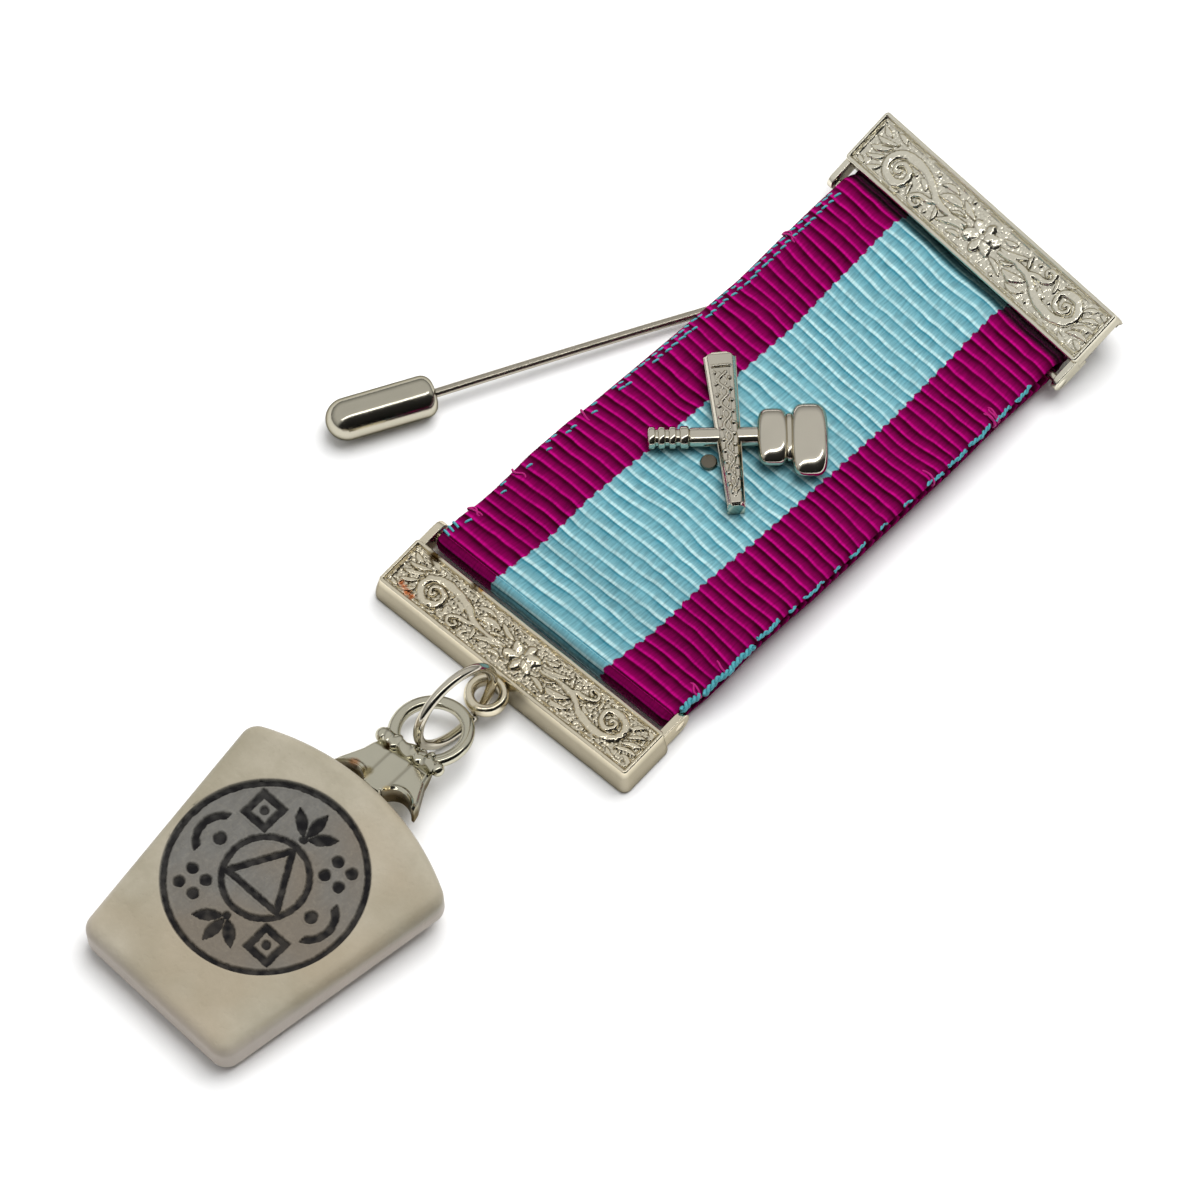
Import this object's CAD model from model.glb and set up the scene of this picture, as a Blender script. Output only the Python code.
import math
import bpy
import numpy as np
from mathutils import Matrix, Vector


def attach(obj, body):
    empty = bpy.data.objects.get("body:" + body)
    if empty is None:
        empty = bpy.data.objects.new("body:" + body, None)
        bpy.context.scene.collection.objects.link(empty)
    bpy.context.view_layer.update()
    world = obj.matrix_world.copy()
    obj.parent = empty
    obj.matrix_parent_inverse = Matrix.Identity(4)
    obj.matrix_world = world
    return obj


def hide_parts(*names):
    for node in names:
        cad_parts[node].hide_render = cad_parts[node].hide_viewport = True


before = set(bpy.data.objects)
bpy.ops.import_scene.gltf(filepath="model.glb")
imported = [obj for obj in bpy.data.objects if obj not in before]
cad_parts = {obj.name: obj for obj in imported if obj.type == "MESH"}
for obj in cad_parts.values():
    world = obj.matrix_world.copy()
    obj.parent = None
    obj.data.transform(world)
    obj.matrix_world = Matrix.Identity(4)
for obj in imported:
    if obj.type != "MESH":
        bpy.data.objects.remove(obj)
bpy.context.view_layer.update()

MM = 0.001
TAU = 2 * math.pi


# Sizes and places in millimetres, the same as the solids'
BAR_W, BAR_B, BAR_H = 34.6, 6.4, 4.0
BAR_TURN = 3.6
RIM = 0.35
PLATE_LOW = BAR_H - RIM - 0.8
ROD_Y, ROD_Z, ROD_R = 5.6, 1.9, 0.5
TOP_ROD_Y, TOP_ROD_Z, TOP_TURN = 66.5, 3.092, 1
PIN_FOOT = (-2.75, 72.915)
RIBBON_LEN, RIBBON_HALF = 58.15, 16.0
TURN_R, LAYER, RIB = 1.65, 0.55, 1.34
# the ribbon's slack: share of its length, rise
WAVE = [(0.00, 0.00), (0.07, 0.5), (0.14, 1.5), (0.21, 2.1), (0.28, 1.9), (0.36, 1.35),
        (0.5, 1.15), (0.62, 0.95), (0.8, 0.55), (0.92, 0.2), (1.00, 0.00)]
CROSS = (-2.0, 35.39, 5.449)
STONE_T = 5.0
ARCH_R, TOP_X, LOW_X, TALL, PEAK, CORNER = 30.102, 14.55, 10.65, 28.55, 3.75, 2.0


# Transforms
def move(x, y, z):
    m = np.eye(4)
    m[:3, 3] = (x, y, z)
    return m


def turn(axis, degrees):
    a = math.radians(degrees)
    c, s = math.cos(a), math.sin(a)
    m = np.eye(4)
    i, j = {"x": (1, 2), "y": (2, 0), "z": (0, 1)}[axis]
    m[i, i], m[i, j], m[j, i], m[j, j] = c, -s, s, c
    return m


def placed(m, points):
    points = np.asarray(points, float)
    return points @ m[:3, :3].T + m[:3, 3]


HERE = np.eye(4)
BOTTOM_BAR = turn("z", BAR_TURN) @ move(0, 2.75, 0)
TOP_BAR = (move(0, TOP_ROD_Y, TOP_ROD_Z) @ turn("z", -TOP_TURN) @ turn("x", 18.5)
           @ move(0, ROD_Y, -ROD_Z) @ turn("z", 180))
PIN = move(*PIN_FOOT, 0.6) @ turn("z", -26) @ turn("x", 90 - 1.6206)
RING = move(0.3, -6.867, 0.03) @ turn("z", -3) @ turn("y", -5) @ move(0, 0, 5.7)
STONE = move(0.6, -19.292, 1.936) @ turn("x", 3.4)
CAP = (move(-0.3, 0.25, 0) @ STONE @ move(0, 0, STONE_T / 2) @ turn("x", -3.4) @ turn("z", 6.6)
       @ turn("x", -6.6) @ turn("y", -9.4))
MALLET = move(*CROSS) @ turn("z", 46) @ move(-8.5, 0, 0)
CHISEL = move(*CROSS) @ turn("z", -39.5) @ move(-9.76, 0, 0)


def value_noise(x, y, size, seed, shift=(0, 0)):
    """Smooth values from -1 to 1 on a lattice of that size, the same on each run."""
    table = np.random.default_rng(seed).uniform(-1, 1, (128, 128))
    size_x, size_y = np.broadcast_to(size, 2)
    x, y = x / size_x + shift[0], y / size_y + shift[1]
    ix, iy = np.floor(x).astype(int), np.floor(y).astype(int)
    fx, fy = smooth(x - ix), smooth(y - iy)
    a, b = table[ix % 128, iy % 128], table[(ix + 1) % 128, iy % 128]
    c, d = table[ix % 128, (iy + 1) % 128], table[(ix + 1) % 128, (iy + 1) % 128]
    return (a * (1 - fx) + b * fx) * (1 - fy) + (c * (1 - fx) + d * fx) * fy


def smooth(t):
    t = np.clip(t, 0, 1)
    return t * t * (3 - 2 * t)


def swollen(v, power):
    """A sine or cosine made rounder or squarer."""
    return np.sign(v) * np.abs(v) ** power


def bell(v, middle, width):
    return np.exp(-((v - middle) / width) ** 2)


def angles(n):
    return np.arange(n) / n * TAU


def quarter(n):
    return np.linspace(0, math.pi / 2, n)


class Shell:
    """A mesh gathered from arrays: points, faces, a tone for each point, and a UV for cloth."""

    def __init__(self):
        self.points, self.faces, self.tone, self.uv, self.count = [], [], [], [], 0

    def add(self, m, points, faces, tone=0.0, uv=None):
        """Points placed by the matrix m, and the faces between them."""
        points = placed(m, np.reshape(points, (-1, 3)))
        self.points.append(points)
        self.faces += [np.asarray(f, np.int64) + self.count for f in faces]
        self.count += len(points)
        self.tone.append(np.broadcast_to(np.ravel(tone), len(points)))
        if uv is not None:
            self.uv.append(np.asarray(uv, float).reshape(-1, 2))

    def make(self, name, material, slot, hides=(), body="jewel", smooth_angle=None, **more):
        points = np.concatenate(self.points) * MM
        mesh = bpy.data.meshes.new(name)
        mesh.vertices.add(len(points))
        mesh.vertices.foreach_set("co", points.astype(np.float32).ravel())
        loops = np.concatenate([f.ravel() for f in self.faces])
        sizes = np.concatenate([np.full(len(f), f.shape[1]) for f in self.faces])
        mesh.loops.add(len(loops))
        mesh.loops.foreach_set("vertex_index", loops.astype(np.int32))
        mesh.polygons.add(len(sizes))
        starts = np.concatenate([[0], np.cumsum(sizes)[:-1]])
        mesh.polygons.foreach_set("loop_start", starts.astype(np.int32))
        mesh.update(calc_edges=True)
        mesh.validate()
        for key, values in {"tone": np.concatenate(self.tone), **more}.items():
            layer = mesh.attributes.new(key, "FLOAT", "POINT")
            layer.data.foreach_set("value", values.astype(np.float32))
        if self.uv:
            layer = mesh.uv_layers.new(name="weave")
            index = np.empty(len(mesh.loops), np.int32)
            mesh.loops.foreach_get("vertex_index", index)
            layer.data.foreach_set("uv", np.concatenate(self.uv)[index].astype(np.float32).ravel())
        mesh.shade_smooth()
        if smooth_angle:
            mesh.set_sharp_from_angle(angle=math.radians(smooth_angle))
        mesh.materials.append(material)
        piece = link(name, mesh)
        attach(piece, body)
        if hides:
            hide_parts(*hides)
        return piece


def grid_faces(nu, nv, close_u=False, close_v=False, flip=False):
    u = np.arange(nu if close_u else nu - 1)
    v = np.arange(nv if close_v else nv - 1)
    u, v = np.meshgrid(u, v, indexing="ij")
    u, v = u.ravel(), v.ravel()
    u1, v1 = (u + 1) % nu, (v + 1) % nv
    quads = np.stack([u * nv + v, u1 * nv + v, u1 * nv + v1, u * nv + v1], 1)
    return quads[:, ::-1] if flip else quads


def tube(points, radius, sides):
    """A tube along points, with blunt ends."""
    p = np.asarray(points, float)
    n = len(p)
    tangent = np.gradient(p, axis=0)
    tangent /= np.linalg.norm(tangent, axis=1)[:, None]
    side = np.cross(tangent[0], (0.0, 0.0, 1.0))
    if np.linalg.norm(side) < 0.1:
        side = np.cross(tangent[0], (1.0, 0.0, 0.0))
    carried = []
    for along in tangent:
        side = side - along * (side @ along)
        side /= np.linalg.norm(side)
        carried.append(side)
    side = np.array(carried)
    other = np.cross(side, tangent)
    a = angles(sides)[None, :, None]
    pts = p[:, None, :] + radius * (np.cos(a) * side[:, None, :] + np.sin(a) * other[:, None, :])
    ends = [p[end] + sign * tangent[end] * radius * 0.55 for end, sign in ((0, -1), (n - 1, 1))]
    k, last = np.arange(sides), (n - 1) * sides
    faces = [grid_faces(n, sides, close_v=True, flip=True),
             np.stack([k, (k + 1) % sides, np.full(sides, n * sides)], 1),
             np.stack([last + (k + 1) % sides, last + k, np.full(sides, n * sides + 1)], 1)]
    return np.concatenate([pts.reshape(-1, 3), ends]), faces


def lathe(profile, sides):
    """A turned form, from rows of (place along +Z, radius)."""
    prof = np.asarray(profile, float)
    z = np.repeat(prof[:, 0], sides)
    r = np.repeat(prof[:, 1], sides)
    a = np.tile(angles(sides), len(prof))
    pts = np.stack([r * np.cos(a), r * np.sin(a), z], 1)
    return pts, [grid_faces(len(prof), sides, close_v=True, flip=True)]


def ball(centre, radius, rows, sides):
    a = np.linspace(-math.pi / 2, math.pi / 2, rows)
    pts, faces = lathe(np.stack([radius * np.sin(a), np.maximum(radius * np.cos(a), 1e-4)], 1), sides)
    return pts + np.asarray(centre, float), faces


def spaced(points, step):
    """Points about one step apart on the same line."""
    p = np.asarray(points, float)
    d = np.concatenate([[0], np.cumsum(np.linalg.norm(np.diff(p, axis=0), axis=1))])
    n = max(2, int(round(d[-1] / step)) + 1)
    s = np.linspace(0, d[-1], n)
    return np.stack([np.interp(s, d, p[:, k]) for k in range(p.shape[1])], 1)


def spline(points, step):
    """A smooth line through the points."""
    p = np.asarray(points, float)
    ext = np.vstack([2 * p[0] - p[1], p, 2 * p[-1] - p[-2]])
    out = []
    for i in range(1, len(ext) - 2):
        t = np.linspace(0, 1, 12, endpoint=False)[:, None]
        a, b, c, d = ext[i - 1], ext[i], ext[i + 1], ext[i + 2]
        out.append(0.5 * (2 * b + (c - a) * t + (2 * a - 5 * b + 4 * c - d) * t ** 2
                          + (3 * b - 3 * c + d - a) * t ** 3))
    out.append(p[-1:])
    return spaced(np.vstack(out), step)


# Materials
def new_material(name):
    """A material, its graph and the inputs of its one shader."""
    mat = bpy.data.materials.new(name)
    mat.use_nodes = True
    tree = mat.node_tree
    tree.nodes.clear()
    out = tree.nodes.new("ShaderNodeOutputMaterial")
    bsdf = tree.nodes.new("ShaderNodeBsdfPrincipled")
    tree.links.new(bsdf.outputs["BSDF"], out.inputs["Surface"])
    return mat, Graph(tree), bsdf.inputs


class Graph:
    def __init__(self, tree):
        self.tree = tree

    def node(self, kind, **values):
        n = self.tree.nodes.new(kind)
        for key, value in values.items():
            setattr(n, key, value)
        return n

    def link(self, a, b):
        self.tree.links.new(a, b)

    def put(self, socket, value):
        if isinstance(value, bpy.types.NodeSocket):
            self.link(value, socket)
        else:
            socket.default_value = value

    def place(self):
        return self.node("ShaderNodeTexCoord").outputs["Object"]

    def split(self, vector):
        n = self.node("ShaderNodeSeparateXYZ")
        self.link(vector, n.inputs[0])
        return n.outputs

    def scaled(self, vector, scale, rotation=(0, 0, 0)):
        n = self.node("ShaderNodeMapping")
        n.inputs["Rotation"].default_value = rotation
        n.inputs["Scale"].default_value = scale
        self.link(vector, n.inputs["Vector"])
        return n.outputs[0]

    def math(self, operation, a, b=0.0, c=0.0, clamp=False):
        n = self.node("ShaderNodeMath", operation=operation, use_clamp=clamp)
        for socket, value in zip(n.inputs, (a, b, c)):
            self.put(socket, value)
        return n.outputs[0]

    def times(self, a, b, clamp=False):
        return self.math("MULTIPLY", a, b, clamp=clamp)

    def noise(self, vector, scale, detail, rough=0.5):
        n = self.node("ShaderNodeTexNoise")
        self.link(vector, n.inputs["Vector"])
        n.inputs["Scale"].default_value = scale
        n.inputs["Detail"].default_value = detail
        n.inputs["Roughness"].default_value = rough
        return n.outputs["Fac"]

    def ramp(self, value, stops):
        n = self.node("ShaderNodeValToRGB")
        self.link(value, n.inputs["Fac"])
        e = n.color_ramp.elements
        while len(e) < len(stops):
            e.new(0.5)
        for element, (at, colour) in zip(e, stops):
            element.position = at
            element.color = (*(colour if isinstance(colour, tuple) else (colour,) * 3), 1)
        return n.outputs["Color"]

    def mix(self, factor, a, b, blend="MIX"):
        n = self.node("ShaderNodeMix", data_type="RGBA", blend_type=blend)
        self.put(n.inputs[0], factor)
        for socket, value in ((n.inputs[6], a), (n.inputs[7], b)):
            if not isinstance(value, bpy.types.NodeSocket) and len(value) == 3:
                value = tuple(value) + (1,)
            self.put(socket, value)
        return n.outputs[2]

    def attribute(self, name):
        return self.node("ShaderNodeAttribute", attribute_name=name).outputs["Fac"]

    def spot(self, vector, centre, radius):
        """One at the centre, nought from the radius on, both in millimetres."""
        n = self.node("ShaderNodeVectorMath", operation="DISTANCE")
        self.link(vector, n.inputs[0])
        n.inputs[1].default_value = [c * MM for c in centre]
        d = self.math("DIVIDE", n.outputs["Value"], radius * MM)
        return self.math("SUBTRACT", 1.0, d, clamp=True)

    def bump(self, height, distance, strength=1.0, normal=None):
        n = self.node("ShaderNodeBump")
        n.inputs["Distance"].default_value = distance * MM
        n.inputs["Strength"].default_value = strength
        self.link(height, n.inputs["Height"])
        if normal is not None:
            self.link(normal, n.inputs["Normal"])
        return n.outputs["Normal"]


def metal_material(name, tint, rough, grain, spots=(), crevice=(0.06, 0.048, 0.028),
                   edge=(0.52, 0.5, 0.45)):
    """Bright plated metal, duller in its hollows, with warm stains at given places."""
    mat, g, shader = new_material(name)
    at = g.place()
    cloud, fine = g.noise(at, 450, 4), g.noise(at, 5200, 3)
    hollow = g.attribute("tone")
    colour = g.mix(cloud, [c * 0.93 for c in tint], [min(1, c * 1.05) for c in tint])
    colour = g.mix(hollow, colour, crevice)
    for centre, radius, stain in spots:
        colour = g.mix(g.times(g.spot(at, centre, radius), g.times(fine, 3.2), clamp=True), colour, stain)
    g.link(colour, shader["Base Color"])
    shader["Metallic"].default_value = 1
    shader["Specular Tint"].default_value = (*edge, 1)
    dull = g.math("MULTIPLY_ADD", cloud, 0.12, rough - 0.06)
    g.link(g.math("MULTIPLY_ADD", hollow, 0.15, dull), shader["Roughness"])
    g.link(g.bump(fine, grain), shader["Normal"])
    return mat


COPPER = (0.62, 0.2, 0.07)
BROWN = (0.1, 0.06, 0.02)
ORANGE = (0.55, 0.3, 0.06)
OLIVE = (0.3, 0.25, 0.13)
BRASS = (0.6, 0.47, 0.22)
STAIN = (0.46, 0.26, 0.14)
BAR_METAL = metal_material(
    "bar_metal", (0.81, 0.735, 0.565), 0.18, 0.01,
    spots=[((-15.2, 0.0, 3.7), 0.42, COPPER), ((-14.6, -0.2, 3.7), 0.5, COPPER),
           ((-14.0, -0.35, 3.7), 0.5, COPPER), ((-13.3, -0.4, 3.7), 0.45, COPPER),
           ((-14.8, 4.6, 3.8), 1.0, BROWN), ((-9.3, 5.3, 3.9), 0.8, BROWN),
           ((-8.6, 5.3, 4.0), 0.45, ORANGE), ((0.4, -0.6, 2.8), 0.8, COPPER)])
TOP_METAL = metal_material("top_metal", (0.83, 0.79, 0.655), 0.2, 0.01)
POLISHED = metal_material("polished_metal", (0.67, 0.625, 0.52), 0.12, 0.002)
PIN_METAL = metal_material("pin_metal", (0.46, 0.42, 0.34), 0.26, 0.012)
PIN_CAP_METAL = metal_material("pin_cap_metal", (0.54, 0.51, 0.41), 0.15, 0.004, edge=(0.14, 0.13, 0.11))
CAP_METAL = metal_material(
    "cap_metal", (0.6, 0.575, 0.455), 0.13, 0.002, crevice=(0.12, 0.09, 0.045),
    spots=[((-3.4, -18.5, 5.0), 0.8, STAIN), ((-1.7, -18.9, 5.4), 0.9, BRASS),
           ((-1.6, -18.3, 5.2), 0.8, OLIVE), ((1.6, -18.6, 5.9), 0.6, BRASS),
           ((-2.5, -14.6, 4.4), 0.6, BROWN)])


def ribbon_material():
    """Ribbed cloth: U runs across in millimetres, V counts the ribs."""
    mat, g, shader = new_material("ribbon_cloth")
    uv = g.node("ShaderNodeUVMap", uv_map="weave").outputs["UV"]
    across, ribs, _ = g.split(uv)
    at_rib = g.math("FRACT", g.math("ADD", ribs, 0.5))
    # the stripe is blue up to 8 mm from the middle, with a ragged edge
    ragged = g.math("MULTIPLY_ADD", g.math("COSINE", g.times(ribs, TAU)), 0.12,
                    g.times(g.noise(uv, 3.0, 2), 0.5))
    reach = g.math("ADD", g.math("ABSOLUTE", across), ragged)
    blue = g.times(g.math("SUBTRACT", 8.0, reach), 9.0, clamp=True)
    threads = g.noise(g.scaled(uv, (4.2, 0.8, 1.0)), 1.0, 3)
    # each rib: a dark line, a bright shoulder above it, then the plain back of the rib
    sky = g.ramp(at_rib, [
        (0.06, (0.04, 0.21, 0.275)), (0.15, (0.45, 0.66, 0.68)), (0.28, (0.44, 0.65, 0.665)),
        (0.42, (0.175, 0.37, 0.415)), (0.72, (0.115, 0.29, 0.34)), (0.93, (0.078, 0.255, 0.32)),
        (1.0, (0.04, 0.21, 0.275))])
    pink = g.ramp(at_rib, [
        (0.0, (0.03, 0.0, 0.006)), (0.1, (0.045, 0.0, 0.01)), (0.2, (0.46, 0.003, 0.19)),
        (0.28, (0.42, 0.002, 0.165)), (0.42, (0.2, 0.0, 0.07)), (0.7, (0.125, 0.0, 0.043)),
        (0.86, (0.065, 0.0, 0.02)), (1.0, (0.025, 0.0, 0.005))])
    # in patches the ribs are worn even
    worn = g.ramp(g.noise(uv, 0.3, 3), [(0.0, 0.55), (0.38, 0.45), (0.6, 0.0)])
    sky = g.mix(worn, sky, (0.17, 0.38, 0.43))
    pink = g.mix(g.times(worn, 0.5), pink, (0.21, 0.0, 0.073))
    weave = g.ramp(threads, [(0.0, 0.72), (0.35, 0.8), (0.62, 1.12), (1.0, 1.2)])
    colour = g.mix(1.0, g.mix(blue, pink, sky), weave, "MULTIPLY")
    # soiled and dark where the band turns round its rods
    colour = g.mix(g.attribute("tone"), colour, g.mix(1.0, colour, (0.14, 0.2, 0.2), "MULTIPLY"))
    g.link(colour, shader["Base Color"])
    shader["Roughness"].default_value = 0.7
    shader["Specular IOR Level"].default_value = 0.04
    g.link(g.bump(threads, 0.03, 0.5), shader["Normal"])
    return mat


def thread_material(name, dark, light):
    mat, g, shader = new_material(name)
    twist = g.noise(g.place(), 6000, 2)
    g.link(g.mix(twist, dark, light), shader["Base Color"])
    shader["Roughness"].default_value = 0.6
    g.link(g.bump(twist, 0.03), shader["Normal"])
    return mat


def stone_material():
    mat, g, shader = new_material("stone")
    at = g.place()
    cloud = g.ramp(g.noise(at, 110, 5, 0.55), [(0.34, 0.0), (0.66, 1.0)])
    blush = g.ramp(g.noise(at, 75, 2), [(0.48, 0.0), (0.66, 1.0)])
    grain = g.noise(at, 2600, 4, 0.6)
    pits = g.ramp(g.noise(at, 900, 2), [(0.34, 0.0), (0.44, 1.0)])
    colour = g.mix(cloud, (0.31, 0.28, 0.205), (0.445, 0.405, 0.32))
    colour = g.mix(g.times(blush, 0.55), colour, (0.345, 0.28, 0.19))
    colour = g.mix(g.times(grain, 0.3), colour, (0.27, 0.235, 0.175))
    # the walls are a little paler and pinker than the face
    wall = g.ramp(g.times(g.split(at)[2], 120.0), [(0.0, 1.0), (0.45, 0.85), (0.62, 0.0)])
    colour = g.mix(g.times(wall, 0.75), colour, (0.6, 0.53, 0.475))
    # the disc is brushed grey, rubbed and blushed like the stone
    brushed = g.noise(g.scaled(at, (1500, 500, 500), (0, 0, 0.5)), 1.0, 4, 0.6)
    disc_colour = g.mix(brushed, (0.1, 0.095, 0.085), (0.185, 0.18, 0.165))
    disc_colour = g.mix(g.times(blush, 0.7), disc_colour, (0.17, 0.14, 0.105))
    rubbed = g.math("MULTIPLY_ADD", grain, 0.5, 0.74)
    colour = g.mix(g.times(g.attribute("disc"), rubbed, clamp=True), colour, disc_colour)
    colour = g.mix(g.attribute("tone"), colour, (0.005, 0.0045, 0.005))
    g.link(colour, shader["Base Color"])
    shader["Roughness"].default_value = 0.38
    shader["Specular IOR Level"].default_value = 0.16
    g.link(g.bump(pits, 0.03, 0.6, g.bump(grain, 0.02)), shader["Normal"])
    return mat


RIBBON_CLOTH = ribbon_material()
TEAL_THREAD = thread_material("teal_thread", (0.02, 0.2, 0.25), (0.12, 0.46, 0.52))
PINK_THREAD = thread_material("pink_thread", (0.22, 0.0, 0.08), (0.55, 0.005, 0.22))
STONE_MATTER = stone_material()


def to_segment(x, y, a, b):
    """Where along the line from a to b the nearest point is, and how far off."""
    d = b - a
    t = np.clip(((x - a[0]) * d[0] + (y - a[1]) * d[1]) / max(d @ d, 1e-9), 0, 1)
    return t, np.hypot(x - a[0] - t * d[0], y - a[1] - t * d[1])


class Relief:
    """Raised ornament on a grid of heights."""

    def __init__(self, x, y):
        self.x, self.y = x, y
        self.h = np.zeros_like(x)

    def near(self, points, reach):
        p = np.asarray(points, float)
        lo, hi = p.min(0) - reach, p.max(0) + reach
        return (self.x > lo[0]) & (self.x < hi[0]) & (self.y > lo[1]) & (self.y < hi[1])

    def stroke(self, points, width, height, vein=0.0, power=0.5):
        """A line with a width and a height at each of its points, round in section."""
        p = np.asarray(points, float)
        w = np.broadcast_to(np.asarray(width, float), (len(p),))
        k = np.broadcast_to(np.asarray(height, float), (len(p),))
        mask = self.near(p, w.max())
        if not mask.any():
            return
        x, y = self.x[mask], self.y[mask]
        best, dist, high = np.full(len(x), 9.0), np.full(len(x), 9.0), np.zeros(len(x))
        for i in range(len(p) - 1):
            t, gap = to_segment(x, y, p[i], p[i + 1])
            r = gap / np.maximum(w[i] + (w[i + 1] - w[i]) * t, 1e-3)
            nearer = r < best
            best[nearer] = r[nearer]
            dist[nearer] = gap[nearer]
            high[nearer] = (k[i] + (k[i + 1] - k[i]) * t)[nearer]
        form = high * np.clip(1 - best ** 2, 0, 1) ** power
        if vein:
            form -= vein * bell(dist, 0, 0.11) * (form > 0.03)
        self.h[mask] = np.maximum(self.h[mask], form)

    def leaf(self, start, end, bend, width, height, vein):
        a, b = np.asarray(start, float), np.asarray(end, float)
        t = np.linspace(0, 1, 9)[:, None]
        across = np.array([-(b - a)[1], (b - a)[0]])
        line = a + (b - a) * t + across * bend * 4 * t * (1 - t)
        swell = np.sin(np.pi * np.clip(t[:, 0] * 0.93 + 0.05, 0, 1)) ** 0.8
        self.stroke(line, width * swell, height, vein)

    def dots(self, centres, radius, height):
        for c, r in zip(centres, np.broadcast_to(radius, (len(centres),))):
            mask = self.near([c], r)
            d = np.hypot(self.x[mask] - c[0], self.y[mask] - c[1]) / r
            self.h[mask] = np.maximum(self.h[mask], height * np.clip(1 - d * d, 0, 1) ** 0.5)


def foliage(u, v):
    """Heights of the ornament, the same when turned half round about its middle."""
    du, dv = u - 0.3, v + 0.05
    left = du < 0
    r = Relief(np.where(left, du, -du), np.where(left, dv, -dv))

    def band(points, height):
        p = spline(points, 0.16)
        r.stroke(p[:, :2], p[:, 2] * 1.12, height * 1.12, power=0.42)

    # stem from the flower, over the top into the big scroll
    band([(-2.4, -0.15, 0.2), (-4.7, -0.42, 0.28), (-6.7, -0.22, 0.36), (-8.3, 0.72, 0.42),
          (-9.9, 1.18, 0.46), (-11.7, 1.3, 0.46), (-13.15, 0.78, 0.46), (-13.7, -0.4, 0.46),
          (-13.0, -1.5, 0.44), (-11.7, -1.75, 0.42), (-10.75, -1.1, 0.38), (-10.95, 0.0, 0.34),
          (-11.9, 0.38, 0.3), (-12.55, -0.15, 0.27), (-12.3, -0.8, 0.24), (-11.8, -0.7, 0.2)], 0.42)
    r.dots([(-11.9, -0.5)], 0.34, 0.48)
    # small scroll below the stem
    band([(-6.3, -0.4, 0.24), (-7.3, -0.8, 0.3), (-8.3, -0.92, 0.3), (-9.05, -1.45, 0.27),
          (-8.85, -2.1, 0.25), (-8.15, -2.2, 0.23), (-7.85, -1.75, 0.2), (-8.25, -1.55, 0.2)], 0.38)
    # leaves beyond the scroll and in the corners: from, to, bend, width
    for x0, y0, x1, y1, *shape in (
            (-14.2, 0.7, -16.4, -0.35, 0.1, 0.36), (-14.3, -0.3, -16.1, -1.4, 0.08, 0.34),
            (-13.9, -1.3, -15.2, -2.3, 0.08, 0.34), (-14.0, 1.4, -16.5, 0.75, 0.1, 0.34),
            (-13.3, 1.9, -14.9, 2.3, -0.1, 0.3), (-15.2, 1.5, -16.6, 2.1, 0.1, 0.34),
            (-15.6, -2.2, -16.7, -1.9, 0.1, 0.28), (-10.5, -2.0, -11.6, -2.45, 0.1, 0.24)):
        r.leaf((x0, y0), (x1, y1), *shape, 0.38, 0.05)
    # leaves along the stem, also with height and vein
    stem_leaves = [
        (-6.7, 0.35, -3.9, 0.95, 0.12, 0.56, 0.44, 0.1), (-5.4, -1.62, -2.1, -0.55, 0.1, 0.42, 0.44, 0.08),
        (-4.2, 1.75, -1.9, 0.95, -0.08, 0.36, 0.42, 0.06), (-7.4, 1.35, -5.2, 1.75, 0.12, 0.34, 0.36, 0.05),
        (-9.6, 0.35, -8.3, -0.25, 0.16, 0.32, 0.34, 0.04), (-6.2, -0.8, -5.7, -2.1, 0.14, 0.3, 0.36, 0.04),
        (-3.6, -1.9, -1.9, -1.5, 0.12, 0.3, 0.36, 0.04), (-9.9, -0.6, -9.5, -2.0, -0.1, 0.26, 0.32, 0.04),
        (-4.6, -0.1, -3.0, 0.45, 0.1, 0.26, 0.36, 0.0)]
    for x0, y0, x1, y1, *shape in stem_leaves:
        r.leaf((x0, y0), (x1, y1), *shape)
    r.dots([(-10.3, 0.35), (-6.9, -1.9), (-3.4, 2.15), (-8.3, 1.9), (-15.6, 0.1)], 0.26, 0.3)
    flower = Relief(du, dv)
    for k in range(6):
        b = math.radians(60 * k + 22)
        c, d = math.cos(b), math.sin(b)
        petal = Relief(du, dv)
        width = 0.66 if k % 3 else 0.78
        petal.leaf((0.42 * c, 0.38 * d), (2.15 * c, 1.75 * d), 0.03, width, 0.5, 0.0)
        # each petal leans its own way, so that some of them catch the light
        lean = (-0.26, 0.12, -0.24, -0.28, 0.1, -0.22)[k] * (du - 1.3 * c)
        flower.h = np.maximum(flower.h, np.where(petal.h > 0.05, petal.h + lean, 0))
    flower.dots([(0, 0)], 0.42, 0.56)
    return np.maximum(r.h, flower.h)


def pebbles(x, y, size, seed):
    """Round grains that touch: one at the middle of a grain, nought where grains meet."""
    jitter = np.random.default_rng(seed).uniform(0.1, 0.9, (64, 64, 2))
    tall = np.random.default_rng(seed + 1).uniform(0.45, 1.0, (64, 64))
    gx, gy = x / size, y / size
    ix, iy = np.floor(gx).astype(int), np.floor(gy).astype(int)
    out = np.zeros_like(gx)
    for a in (-1, 0, 1):
        for b in (-1, 0, 1):
            cx, cy = ix + a, iy + b
            j = jitter[cx % 64, cy % 64]
            d2 = (gx - cx - j[..., 0]) ** 2 + (gy - cy - j[..., 1]) ** 2
            out = np.maximum(out, tall[cx % 64, cy % 64] * np.clip(1 - d2 / 0.42, 0, 1) ** 0.6)
    return out


def soften(h, times):
    for _ in range(times):
        p = np.pad(h, 1, mode="edge")
        h = (p[:-2, 1:-1] + p[2:, 1:-1] + p[1:-1, :-2] + p[1:-1, 2:] + 2 * p[1:-1, 1:-1]) / 6
    return h


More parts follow.
